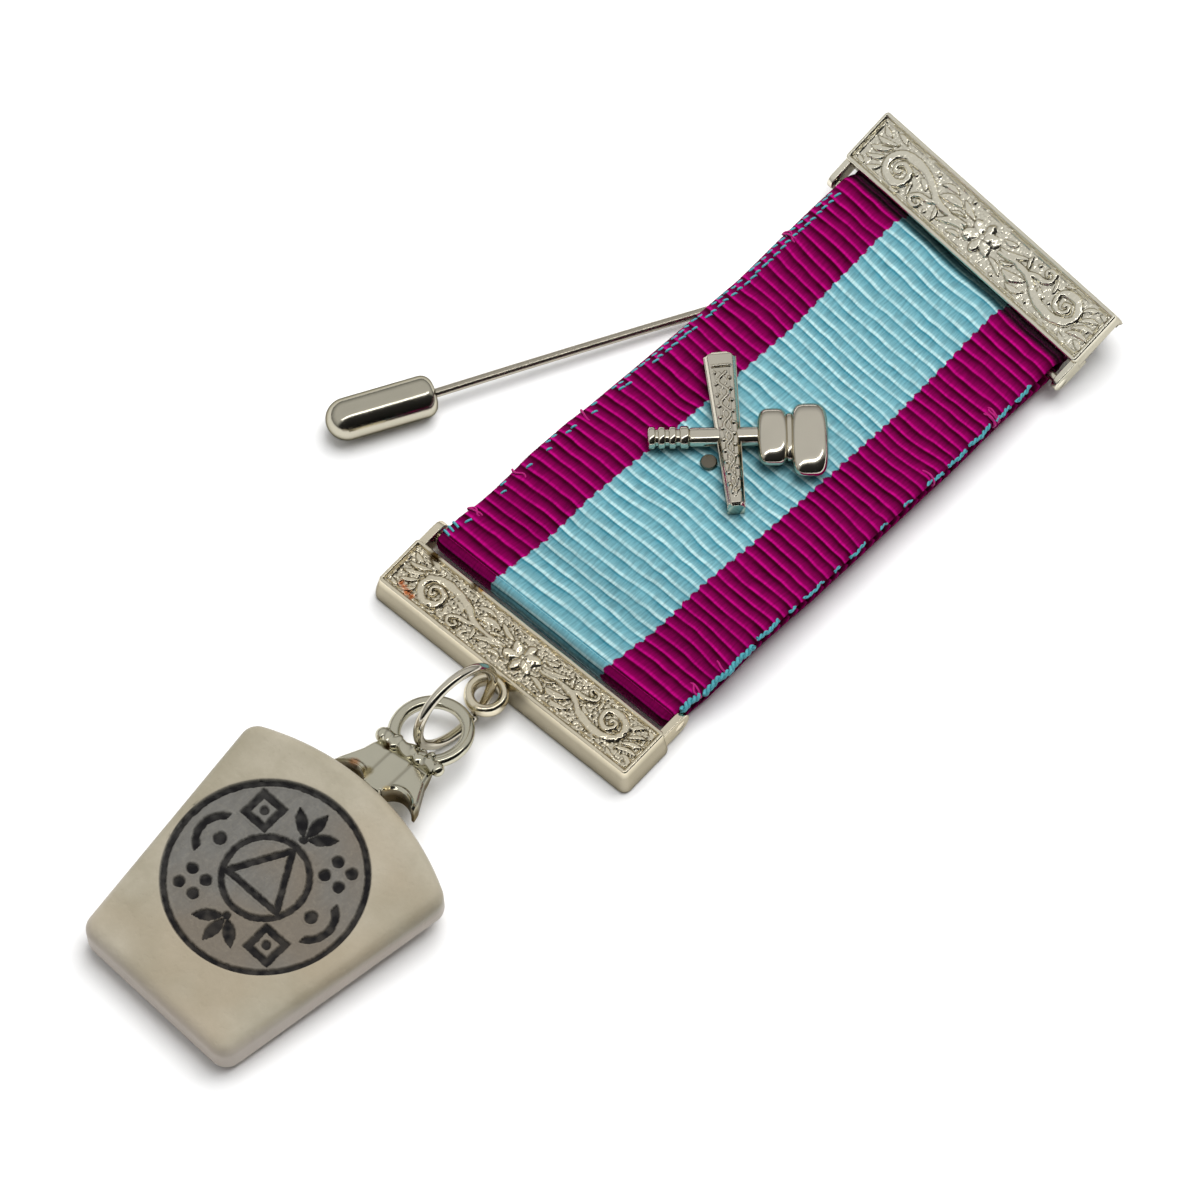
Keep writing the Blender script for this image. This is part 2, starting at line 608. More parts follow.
def bar_relief(shell, m, top, seed):
    """The ornamented face of a bar; the top bar's is turned half round and more worn."""
    step, edge = 0.074, 0.7
    w, b = BAR_W - edge, BAR_B - edge
    nx, ny = int(w / step) + 1, int(b / step) + 1
    x, y = np.meshgrid(np.linspace(-w / 2, w / 2, nx), np.linspace(-b / 2, b / 2, ny), indexing="ij")
    u, v = (-x, -y) if top else (x, y)
    rough, quiet, tall = (0.6, 0.62, 0.8) if top else (1.0, 1.0, 1.0)
    lift = foliage(u + 0.08 * value_noise(u, v, 0.8, seed),
                   v + 0.08 * value_noise(u, v, 0.8, seed, (40, 0)))
    lift = lift * (1 + 0.1 * value_noise(x, y, 0.5, seed + 6)) + 0.035 * value_noise(x, y, 0.2, seed + 7)
    lift = np.where(lift > 0.05, lift, 0)
    ground = rough * (0.2 * pebbles(x, y, 0.38, seed + 1) + 0.05 * pebbles(x, y, 0.21, seed + 2)
                      + 0.05 * value_noise(x, y, 1.3, seed + 3) + 0.03 * value_noise(x, y, 0.17, seed + 9))
    height = np.maximum(lift, ground)
    # a fine raised line inside the rim
    inset = np.minimum(w / 2 - np.abs(x), b / 2 - np.abs(y))
    line = bell(inset, 0.46, 0.12)
    height = np.maximum(height, (0.22 + 0.08 * value_noise(x, y, 0.6, seed + 4)) * line)
    height = tall * np.where(inset < 0.22, np.minimum(height, 0.03), height)
    tone = quiet * np.clip((soften(height, 6) - height) * 7.5 + 0.02 + 0.14 * rough * (lift < 0.05), 0, 0.85)
    tone = np.maximum(tone, 0.55 * bell(inset, 0.13, 0.12))
    shell.add(m, np.stack([x, y, BAR_H - 0.42 + height], -1), [grid_faces(nx, ny)], tone)
    # underside of the face plate
    e, f = BAR_W / 2 - 0.3, BAR_B / 2 - 0.15
    corners = [(-e, -f, PLATE_LOW), (e, -f, PLATE_LOW), (e, f, PLATE_LOW), (-e, f, PLATE_LOW)]
    shell.add(m, corners, [[(0, 3, 2, 1)]], 0.3)


def bar_frame(shell, m, flare, seed, dull, cut=0.0):
    """Rim, walls and foot of a bar, swept round its outline; the ribbon's side is open below."""
    r = 0.45
    half_w, half_b = BAR_W / 2, BAR_B / 2
    corners = [(half_w - r, half_b - r, 0), (-half_w + r, half_b - r, 90),
               (-half_w + r, -half_b + r, 180), (half_w - r, -half_b + r, 270)]
    path, normal = [], []
    for k, (cx, cy, a0) in enumerate(corners):
        for a in np.radians(np.linspace(a0, a0 + 90, 7)):
            path.append((cx + r * math.cos(a), cy + r * math.sin(a)))
            normal.append((math.cos(a), math.sin(a)))
        # the straight side to the next corner
        a = math.radians(a0 + 90)
        next_x, next_y, next_a = corners[(k + 1) % 4]
        start, b = np.array(path[-1]), math.radians(next_a)
        end = np.array((next_x + r * math.cos(b), next_y + r * math.sin(b)))
        n = 70 if abs(start[0] - end[0]) > 5 else 14
        for t in np.linspace(0, 1, n + 2)[1:-1]:
            path.append(tuple(start + (end - start) * t))
            normal.append((math.cos(a), math.sin(a)))
    path, normal = np.array(path), np.array(normal)
    # the rim: inset from the outer face, depth below the top
    rim = [(0.62, 0.42), (0.5, 0.3), (0.43, 0.1), (0.36, 0.02), (0.26, 0.0), (0.16, 0.02), (0.07, 0.08),
           (0.015, 0.18), (0.0, 0.32)]
    # the walls, down outside and up inside: inset, share of their height
    walls = [(0.0, 0.75), (0.0, 0.5), (0.0, 0.25), (0.0, 0.12), (0.03, 0.04), (0.12, 0.0), (0.5, 0.0),
             (0.85, 0.0), (0.9, 0.1), (0.9, 0.6), (0.9, 1.0)]
    n = len(path)
    ribbon_side = (normal[:, 1] > 0.9) & (np.abs(path[:, 0]) < half_w - 1.0)
    low = np.where(ribbon_side, PLATE_LOW, cut * smooth((np.abs(normal[:, 0]) - 0.6) / 0.4))
    pts = []
    for inset, depth in rim:
        z = BAR_H - depth
        wob = 0.012 * value_noise(path[:, 0], path[:, 1], 1.4, seed, (0, z))
        pts.append(np.column_stack([path - normal * (inset + wob)[:, None], np.full(n, z)]))
    for inset, share in walls:
        z = low + (BAR_H - rim[-1][1] - low) * share
        out = flare * smooth((1 - z / BAR_H) * 1.2) * np.where(ribbon_side, 0.0, 1.0)
        out = out * np.where(normal[:, 1] > 0.5, 0.3, 1.0)
        wob = 0.02 * value_noise(path[:, 0], path[:, 1], 2.2, seed + 5, (0, z))
        pts.append(np.column_stack([path + normal * (out - inset + wob)[:, None], z]))
    tone = np.tile([0.0] * len(rim) + [dull] * len(walls), n)
    shell.add(m, np.stack(pts, 1), [grid_faces(n, len(rim) + len(walls), close_u=True, flip=True)], tone)


def rounded_slab(shell, m, outline, z0, z1, r):
    """A flat plate with round edges, from its outline in the XY plane, anticlockwise."""
    p = np.asarray(outline, float)
    edge = np.roll(p, -1, 0) - p
    edge /= np.linalg.norm(edge, axis=1)[:, None]
    n1 = np.stack([edge[:, 1], -edge[:, 0]], 1)
    out = np.roll(n1, 1, 0) + n1
    out /= np.maximum((out * n1).sum(1), 0.3)[:, None]
    turns = quarter(5)
    rings = [(r * (1 - math.sin(a)), z0 + r * (1 - math.cos(a))) for a in turns]
    rings += [(r * (1 - math.cos(a)), z1 - r * (1 - math.sin(a))) for a in turns]
    pts = np.stack([np.column_stack([p - out * inset, np.full(len(p), z)]) for inset, z in rings], 0)
    shell.add(m, pts, [grid_faces(len(rings), len(p), close_v=True, flip=True)])
    k = np.arange(len(p))
    shell.add(m, pts[-1], [k[None, :]])
    shell.add(m, pts[0], [k[None, ::-1]])


def cheeks(shell, m, thin=0.9, reach=1.45, short=0.0):
    """The straps at both ends of a bar, with their rivets, and the rod between them."""
    for s in (-1, 1):
        x = s * (BAR_W / 2 - thin / 2)
        # drawn in the YZ plane: a strap from under the face to the rod, round at its end
        a = np.radians(np.linspace(-90, 90, 15))
        end = [(ROD_Y - short + reach * math.cos(t), ROD_Z + reach * math.sin(t)) for t in a]
        outline = [(BAR_B / 2 - 1.2, ROD_Z - reach)] + end + [(BAR_B / 2 - 1.2, ROD_Z + reach)]
        plane = np.array([[0, 0, 1, 0], [1, 0, 0, 0], [0, 1, 0, 0], [0, 0, 0, 1]], float)
        rounded_slab(shell, m @ move(x, 0, 0) @ plane, outline, -thin / 2, thin / 2, 0.14)
        shell.add(m @ move(s * BAR_W / 2 - s * 0.06, ROD_Y, ROD_Z) @ turn("y", 90 * s),
                  *lathe([(0, 0.01), (0, 0.62), (0.06, 0.72), (0.12, 0.62), (0.16, 0.01)], 24))
    shell.add(m @ move(0, ROD_Y, ROD_Z) @ turn("y", 90), *lathe([(-16.4, ROD_R), (16.4, ROD_R)], 20), 0.15)


def flat_ring(shell, m, outer, inner, depth, sides):
    """A ring with an oval section."""
    mid, half = (outer + inner) / 4, (outer - inner) / 4
    t, a = angles(20), angles(sides)[:, None]
    r = (mid + half * swollen(np.cos(t), 0.9))[None, :]
    z = depth / 2 * swollen(np.sin(t), 0.9)
    pts = np.stack([r * np.cos(a), r * np.sin(a), np.broadcast_to(z, (sides, 20))], -1)
    shell.add(m, pts, [grid_faces(sides, 20, close_u=True, close_v=True)])


def build_bottom_bar():
    s = Shell()
    bar_frame(s, BOTTOM_BAR, 0.45, 11, 0.48)
    bar_relief(s, BOTTOM_BAR, False, 21)
    cheeks(s, BOTTOM_BAR)
    flat_ring(s, turn("z", BAR_TURN) @ move(0, -2.7, 2.9), 4.8, 2.5, 1.8, 60)
    # fillet of solder between the loop and the wall
    pts, faces = ball((0, 0, 0), 1.0, 10, 20)
    s.add(turn("z", BAR_TURN) @ move(0, -0.42, 2.7), pts * (1.25, 0.42, 0.75), faces, 0.1)
    s.make("bottom_bar_metal", BAR_METAL, "bar_metal", ["bottom_bar"], smooth_angle=48)


def build_top_bar():
    s = Shell()
    # a touch deeper than the solid on its outer side
    plate = TOP_BAR @ move(0, BAR_B / 2, 0) @ np.diag([1, 1.06, 1, 1]) @ move(0, -BAR_B / 2, 0)
    bar_frame(s, plate, 0.12, 12, 0.2, cut=1.8)
    bar_relief(s, plate, True, 31)
    cheeks(s, TOP_BAR, thin=0.75, reach=1.2, short=0.25)
    # the socket of the pin
    s.add(move(*PIN_FOOT, 0), *lathe([(0.0, 0.01), (0.0, 1.45), (0.15, 1.6), (6.0, 1.6)], 32), 0.1)
    s.make("top_bar_metal", TOP_METAL, "bar_metal", ["top_bar"], smooth_angle=48)


# Ribbon
def rise(s):
    out = np.zeros_like(s)
    for (a, ra), (b, rb) in zip(WAVE[:-1], WAVE[1:]):
        m = (s >= a) & (s <= b)
        out[m] = (ra + (rb - ra) * smooth((s - a) / (b - a)))[m]
    return out


def band_rows():
    """Rows round the band: which stretch each is on, its share of that stretch."""
    front, back, bend = int(RIBBON_LEN / 0.132), int(RIBBON_LEN / 0.24), 34
    rows = [("front", i / front) for i in range(front + 1)] + [("top", i / bend) for i in range(1, bend)]
    rows += [("back", i / back) for i in range(back + 1)] + [("bottom", i / bend) for i in range(1, bend)]
    return np.array([kind for kind, _ in rows]), np.array([share for _, share in rows])


def band_surface(across, inset, kinds, share):
    """Points of the band at places across its width, drawn in by inset."""
    x0 = np.asarray(across, float)[None, :]
    # s is the share of the way from the bottom bar to the top bar
    s = np.select([kinds == "front", kinds == "back", kinds == "top"], [share, 1 - share, 1.0], 0.0)[:, None]
    # both edges wander
    places = [0, 0.04, 0.12, 0.3, 0.55, 0.72, 0.9, 1]
    left = np.interp(s, places, [0, 0.1, 0.75, 0.7, 1.0, 1.05, 0.35, 0.1])
    right = np.interp(s, places, [0.25, 0.5, 1.05, 0.95, 0.65, 0.4, -0.2, -0.45])
    side = (x0 / RIBBON_HALF + 1) / 2
    xb, xt = -0.524 + x0, x0
    x = xb + (xt - xb) * s + left * (1 - side) + right * side
    tilt = math.radians(BAR_TURN)
    yb = 8.35 / math.cos(tilt) + xb * math.tan(tilt)
    yt = TOP_ROD_Y - xt * math.tan(math.radians(TOP_TURN))
    y = yb + (yt - yb) * s
    z = np.empty_like(y)
    front, back = kinds == "front", kinds == "back"
    top_z = (ROD_Z + (TOP_ROD_Z - ROD_Z) * s + TURN_R + rise(s))
    apart = 3.3 + (2.6 - 3.3) * smooth(np.minimum(s, 1 - s) / 0.14)
    z[front] = (top_z - inset)[front]
    z[back] = (top_z - apart + inset)[back]
    for kind, rod_y, start, rod_z, reach, power in (("top", yt, 90, TOP_ROD_Z, 1.15, 3),
                                                    ("bottom", yb, 270, ROD_Z, -0.45, 1)):
        m = kinds == kind
        a = np.radians(start - 180 * share[m])[:, None]
        y[m] = rod_y + (TURN_R + reach - inset) * np.cos(a)
        z[m] = rod_z + (TURN_R - inset) * swollen(np.sin(a), power)
    return np.stack([x, y, z], -1)


def build_ribbon():
    """The band, and what its stitches need: its outer face and the lengths along it."""
    kinds, share_of = band_rows()
    n, cols, half = len(kinds), 70, RIBBON_HALF
    t = np.linspace(-1, 1, cols)
    across = half * np.sign(t) * (1 - (1 - np.abs(t)) ** 1.06)
    surface = band_surface(across, 0.0, kinds, share_of)
    mid = surface[:, cols // 2]
    step = np.linalg.norm(np.roll(mid, -1, 0) - mid, axis=1)
    along = np.concatenate([[0], np.cumsum(step)[:-1]])
    total = step.sum()
    pitch = total / round(total / RIB)
    # the ribs wander and bow
    u = np.broadcast_to(across[None, :], (n, cols))
    a = np.broadcast_to(along[:, None], (n, cols))
    share = a / RIBBON_LEN
    bow = (1.0 * bell(share, 0.8, 0.2) - 0.25) * (1 - (np.abs(u - 2) / 16) ** 1.6)
    near = np.exp(-(((u + 2) / 8) ** 2 + ((a - 27) / 7) ** 2))
    pull = 0.9 * np.exp(-(((u + 1.5) / 5) ** 2)) * (a - 25) / 5 * np.exp(-(((a - 25) / 6) ** 2))
    fade = smooth(np.minimum(a, total - a) / 3)
    wander = fade * (bow + pull + 0.3 * value_noise(u, a, (5.2, 4.1), 3)
                     + 0.07 * value_noise(u, a, (1.3, 1.4), 4)
                     + near * 0.45 * value_noise(u, a, (2.6, 3.1), 5, (5, 0)))
    phase = (a + wander) / pitch
    frac = phase - np.floor(phase)
    arch = 1 - np.abs(2 * frac ** 0.62 - 1) ** 3
    strength = 1 + 0.25 * value_noise(u, a, (3.0, 2.2), 6) + 0.5 * near
    height = 0.11 * strength * (arch - 1)
    height += 0.1 * fade * value_noise(u, a, (6.0, 5.0), 7) * np.cos(u / half * math.pi / 2)
    # the edges curl down a little
    height -= 0.35 * smooth((np.abs(u) - (half - 0.8)) / 0.8) ** 2
    normal = np.cross(np.gradient(surface, axis=1), np.gradient(surface, axis=0))
    normal /= np.linalg.norm(normal, axis=-1)[..., None]
    outer = surface + normal * height[..., None]
    # the stripe drifts across
    stripe = np.interp(share, [0, 0.1, 0.4, 0.7, 0.9, 1], [-0.35, -0.2, 0.0, 0.1, -0.25, -0.5])
    uv = np.stack([u - stripe * (np.abs(u) < 12), phase - 0.5], -1)
    # edge columns bulge round to the inner face
    inner_u = np.linspace(-half + 0.12, half - 0.12, 14)
    inner = band_surface(inner_u, LAYER, kinds, share_of)
    inner_uv = np.stack(np.broadcast_arrays(inner_u[None, :], phase[:, :1]), -1)
    left = 0.5 * (outer[:, 0] + inner[:, 0]) + (-0.12, 0, 0)
    right = 0.5 * (outer[:, -1] + inner[:, -1]) + (0.12, 0, 0)
    loop = np.concatenate([outer, right[:, None], inner[:, ::-1], left[:, None]], 1)
    loop_uv = np.concatenate([uv, uv[:, -1:], inner_uv[:, ::-1], uv[:, :1]], 1)
    m = loop.shape[1]
    bend = np.sin(math.pi * share_of)
    deep = np.select([kinds == "top", kinds == "bottom"],
                     [0.9 * smooth((bend - 0.15) / 0.35), 0.3 * smooth((bend - 0.2) / 0.6)], 0.0)
    s = Shell()
    s.add(HERE, loop, [grid_faces(n, m, close_u=True, close_v=True, flip=True)],
          np.repeat(deep, m), loop_uv)
    piece = s.make("ribbon_band", RIBBON_CLOTH, "ribbon_cloth", ["ribbon"])
    return outer, along


def build_threads(outer, along):
    """Whip stitches along both edges of the front layer and loose ends at the corners."""
    teal, pink = Shell(), Shell()
    rng = np.random.default_rng(8)
    left, right = outer[:, 0], outer[:, -1]

    def on_edge(line, d):
        return np.stack([np.interp(d, along, line[:, k]) for k in range(3)], -1)

    def stitch(shell, line, step, radius, places):
        pts = [on_edge(line, d) + (dx, 0, dz) for d, dx, dz in places]
        shell.add(HERE, *tube(spline(pts, step), radius, 7))

    # two rows of dashes along the left edge, the inner one on the flat of the ribbon
    d = 2.0
    while d < RIBBON_LEN - 1.2:
        for row, (dx, dz) in enumerate(((0.3, 0.16), (1.0, 0.4))):
            if rng.uniform() < (0.12 if d > 24 else 0.55):
                continue
            base = d + 0.3 * row + rng.uniform(-0.1, 0.1)
            end = base + (0.5 + 0.25 * rng.uniform())
            dx += rng.uniform(-0.08, 0.08)
            stitch(teal, left, 0.1, 0.13, [(base, dx - 0.08, dz - 0.16), (base + 0.12, dx - 0.04, dz),
                                           (end - 0.12, dx + 0.04, dz), (end, dx + 0.08, dz - 0.16)])
        d += 0.95
    for d in (0.25, 0.85, 1.5):
        stitch(teal, left, 0.1, 0.15, [(d - 0.1, 0.9, 0.3), (d, 0.2, 0.22), (d + 0.1, -0.12, -0.2),
                                       (d + 0.2, 0.1, -0.6)])
    # a twisted whip cord round the right edge, stout near the bottom bar, broken higher up
    for start, end, thick, out in (
            (0.9, 3.6, 0.26, 0.1), (3.9, 11.4, 0.24, 0.12), (12.2, 15.6, 0.17, 0.0),
            (17.0, 18.2, 0.12, -0.04), (19.4, 22.5, 0.12, -0.02), (24.1, 25.0, 0.11, -0.05),
            (26.5, 29.0, 0.12, 0.0), (31.2, 32.4, 0.11, -0.04), (35.0, 36.3, 0.11, -0.04),
            (38.6, 41.0, 0.14, 0.0), (41.9, 44.7, 0.15, 0.02), (45.3, 48.8, 0.16, 0.02),
            (49.6, 52.1, 0.15, 0.0), (52.8, 55.4, 0.15, 0.02)):
        t = np.arange(start, end, 0.05)
        core = on_edge(right, t)
        core[:, 0] += out + 0.1 * np.sin(t * 1.9) + 0.05 * np.sin(t * 5.1)
        core[:, 2] += 0.05 + 0.06 * np.sin(t * 1.3)
        for ply in (0, math.pi):
            a = t / 0.62 * math.pi + ply
            line = core + np.stack([thick * 0.72 * np.cos(a), 0 * a, thick * 0.72 * np.sin(a)], -1)
            teal.add(HERE, *tube(line, thick * 0.8, 7))
    # loose pink ends: place along Y, which edge
    for y, sign in ((11.3, -1), (12.8, 1), (62.9, -1), (63.7, 1), (57.0, 1), (47.5, 1),
                    (27.0, -1), (16.5, 1), (17.0, -1)):
        line = left if sign < 0 else right
        d = np.interp(y, line[:len(along) // 2, 1], along[:len(along) // 2])
        for k in range(2 if abs(y - 36) > 20 else 1):
            stitch(pink, line, 0.15, 0.13,
                   [(d + 0.35 * k + rng.uniform(-0.1, 0.1), -sign * (1.9 - 0.5 * k), 0.1),
                    (d + rng.uniform(-0.3, 0.5), -sign * 1.2, 0.34),
                    (d + rng.uniform(-0.4, 0.4), -sign * 0.4, 0.42),
                    (d + rng.uniform(-0.3, 0.3), sign * 0.24, -0.05),
                    (d + rng.uniform(-0.3, 0.3), sign * 0.1, -0.5)])
    teal.make("edge_stitches", TEAL_THREAD, "ribbon_cloth")
    pink.make("corner_stitches", PINK_THREAD, "ribbon_cloth")


# Emblem
def add_chisel(s):
    """The chisel, from rows along its length with one section per row."""
    thick, length, wide, narrow = 2.3, 18.3, 3.5, 1.9
    xs = np.concatenate([[0.0, 0.02, 0.1, 0.25, 0.5], np.linspace(0.7, length - 0.1, 230),
                         [length - 0.03, length]])
    half = wide / 2 + (narrow - wide) / 2 * xs / length
    half = half - 0.5 * (1 - np.clip(xs / 0.5, 0, 1)) ** 1.5 - 0.1 * (xs > length - 0.02)
    y = np.linspace(-1, 1, 61)[None, :] * half[:, None]
    x = xs[:, None] + 0 * y
    from_edge = half[:, None] - np.abs(y)
    from_end = np.minimum(x, (length - x) * 1.6)
    z = thick - 0.5 * (1 - smooth(np.minimum(from_edge / 0.55, 1)) ** 0.8)
    z = z - 0.35 * (1 - smooth(from_end / 0.45))
    # a raised panel with a vine, beads and a cross line
    x_low, x_high = 1.75, length - 0.9
    inside = smooth(np.minimum(x - x_low, x_high - x) / 0.15)
    on_panel = smooth((half[:, None] - 0.75 - np.abs(y)) / 0.12) * inside
    room = [wide / 2 - 0.85, narrow / 2 - 0.5]
    vine = Relief(x, y)
    zig = np.arange(x_low + 0.9, x_high - 0.3, 0.28)
    wave = 0.62 * np.interp(zig, [0, length], room) * np.sin((zig - x_low) / 1.32 * math.pi)
    wave = np.stack([zig, wave], 1)
    vine.stroke(spaced(wave, 0.12), 0.17, 0.21)
    vine.stroke(spaced(wave * (1, -0.75), 0.12), 0.12, 0.1)
    beads = [(a, 0.95 * np.interp(a, [0, length], room) * (1 if i % 2 else -1))
             for i, a in enumerate(np.arange(x_low + 0.95, x_high - 0.3, 0.66))]
    vine.dots(beads, 0.25, 0.25)
    vine.dots([(a, -0.4 * b) for a, b in beads], 0.15, 0.15)
    line = Relief(x, y)
    line.stroke([(x_low + 0.1, -0.9), (x_low + 0.1, 0.9)], 0.22, 0.3)
    z = z + 0.1 * on_panel + vine.h + line.h
    tone = 0.1 * on_panel * np.exp(-(vine.h + line.h) / 0.05)
    # sides and underside
    def edge(k, share, height):
        return np.stack([x[:, k], y[:, k] * share, np.full(len(xs), height)], -1)[:, None]

    body = np.concatenate([edge(0, 0.9, 0.0), edge(0, 1, 0.25), np.stack([x, y, z], -1),
                           edge(-1, 1, 0.25), edge(-1, 0.9, 0.0)], 1)
    rows, m = body.shape[:2]
    s.add(CHISEL, body, [grid_faces(rows, m, close_v=True)], np.pad(tone, ((0, 0), (2, 2))))
    for end in (0, -1):
        s.add(CHISEL, body[end], [np.arange(m)[None, :]])


def build_emblem():
    s = Shell()
    add_chisel(s)
    # the mallet's handle, with four raised bands on its grip
    axis_z, r = 1.2, 1.06
    bands = []
    for a, b in ((0.0, 0.85), (1.05, 1.9), (2.2, 3.05), (3.35, 4.4)):
        bands += [(a + 0.02, r - 0.14), (a + 0.05, r + 0.06), (a + 0.2, r + 0.16), (b - 0.2, r + 0.16),
                  (b - 0.05, r + 0.06), (b - 0.02, r - 0.14)]
    pts, faces = lathe([(-0.04, 0.01), (-0.04, r - 0.3), (0.0, r - 0.08)] + bands[1:]
                       + [(4.6, r - 0.02), (12.4, r - 0.02), (12.4, 0.01)], 40)
    pts = placed(turn("y", 90), pts) * (1, 1, 0.98)
    s.add(MALLET @ move(0, 0, axis_z), pts, faces)
    # the head: two lobes with a neck between them, round-edged blocks with a domed face
    x0, rows, sides = 18.95 - 7.2, 40, 72
    a, b = np.linspace(-math.pi / 2, math.pi / 2, rows)[:, None], angles(sides)[None, :]
    along, girth = swollen(np.sin(a), 0.52), swollen(np.cos(a), 0.52)
    for start, long, width, high, off in ((x0 - 0.2, 3.3, 6.6, 3.0, -0.25), (x0 + 2.75, 0.9, 5.6, 2.6, -0.2),
                                          (x0 + 3.3, 3.95, 8.5, 3.2, -0.7)):
        body = np.stack([np.broadcast_to(long / 2 * along, (rows, sides)),
                         width / 2 * girth * swollen(np.cos(b), 0.92), high / 2 * girth * np.sin(b)], -1)
        body = body + (start + long / 2, off, high / 2)
        s.add(MALLET, body, [grid_faces(rows, sides, close_v=True)])
    # stud through the ribbon
    stud = [(-1.0, 0.6), (0.3, 0.62), (0.5, 0.86), (0.8, 0.92), (0.98, 0.8), (1.05, 0.01)]
    s.add(move(-1.72, 32.2, CROSS[2] - 0.6), *lathe(stud, 28), 0.8)
    s.make("emblem_metal", POLISHED, "polished_metal", ["emblem"], smooth_angle=50)


# Stick pin and its cap
def build_pin():
    s = Shell()
    taper = 61
    prof = [(-0.7, 0.01), (-0.7, 0.5)] + [(z, 0.52 - 0.03 * z / 60) for z in np.linspace(0, taper, 80)]
    pts, faces = lathe(prof + [(67.0, 0.42), (69.4, 0.06), (69.5, 0.01)], 24)
    # the wire is slightly bowed
    pts[:, 0] -= 0.38 * np.sin(np.clip(pts[:, 2] / taper, 0, 1) * math.pi)
    s.add(PIN, pts, faces)
    s.make("stick_pin_wire", PIN_METAL, "polished_metal", ["stick_pin"])
    r, length = 2.3, 12.05
    prof = [(0.9, 0.5), (0.3, 0.52), (0.02, 0.7)]
    prof += [(1.25 - 1.25 * math.cos(t), (r - 1.2) + 1.2 * math.sin(t)) for t in quarter(12)]
    prof += [(z, r) for z in np.linspace(1.4, length - r - 0.1, 60)]
    prof += [(length - r + r * math.sin(t), max(r * math.cos(t), 0.01)) for t in quarter(16)]
    pts, faces = lathe(prof, 72)
    # two tiny dark nicks where the cap is pinched: place along it, angle
    nick = np.zeros(len(pts))
    round_it = np.arctan2(pts[:, 1], pts[:, 0])
    for at, angle in ((4.3, 142), (5.6, -40)):
        off = r * np.angle(np.exp(1j * (round_it - math.radians(angle))))
        d = np.hypot((pts[:, 2] - at) / 0.32, off / 0.14)
        nick = np.maximum(nick, np.exp(-d ** 2))
    c = Shell()
    c.add(PIN @ move(0, 0, 60.4), pts, faces, nick)
    c.make("pin_cap_shell", PIN_CAP_METAL, "polished_metal", ["pin_cap"], body="cap")


def build_ring():
    s = Shell()
    # the gap of the cut ring is 5.1 degrees wide
    a = np.radians(-60 + np.linspace(1.2, 360 - 3.9, 120))
    line = 5.15 * np.stack([0 * a, np.cos(a), np.sin(a)], 1)
    s.add(RING, *tube(line, 0.55, 20))
    s.make("jump_ring_wire", POLISHED, "polished_metal", ["jump_ring"])


# Keystone
def stone_outline(inset):
    """The keystone's outline, drawn in by inset, anticlockwise from the top of its arch."""
    side_v = np.array([LOW_X - TOP_X, -TALL])
    sd = side_v / np.linalg.norm(side_v)
    so = np.array([-sd[1], sd[0]])
    start = np.array([TOP_X, -PEAK]) - so * CORNER
    to = start - np.array([0, -ARCH_R])
    b = to @ sd
    c = to @ to - (ARCH_R - CORNER) ** 2
    high = start + sd * (-b - math.sqrt(b * b - c))
    low = start + sd * ((-PEAK - TALL + CORNER - start[1]) / sd[1])
    end = math.degrees(math.atan2(high[0], high[1] + ARCH_R))
    side = math.degrees(math.atan2(so[1], so[0]))

    def arc(centre, radius, places):
        a = np.radians(places)[:, None]
        return radius * np.hstack([np.cos(a), np.sin(a)]) + centre

    half = np.vstack([arc((0, -ARCH_R), ARCH_R - inset, np.linspace(90, 90 - end, 40, endpoint=False)),
                      arc(high, CORNER - inset, np.linspace(90 - end, side, 14)),
                      arc(low, CORNER - inset, np.linspace(side, -90, 14))])
    return np.vstack([half, half[::-1][:-1] * (-1, 1)])


def ray_hit(outline, centre, rays):
    """How far the outline is from the centre, at the angles of the rays."""
    p = outline - centre
    q = np.roll(p, -1, 0)
    d = np.stack([np.cos(rays), np.sin(rays)], 1)
    out = np.full(len(rays), 1e9)
    for a, b in zip(p, q):
        e = b - a
        det = d[:, 0] * -e[1] + d[:, 1] * e[0]
        with np.errstate(divide="ignore", invalid="ignore"):
            t = (a[0] * -e[1] + a[1] * e[0]) / det
            w = (d[:, 0] * a[1] - d[:, 1] * a[0]) / det
        ok = (t > 0) & (w >= -1e-6) & (w <= 1 + 1e-6)
        out[ok] = np.minimum(out[ok], t[ok])
    return out


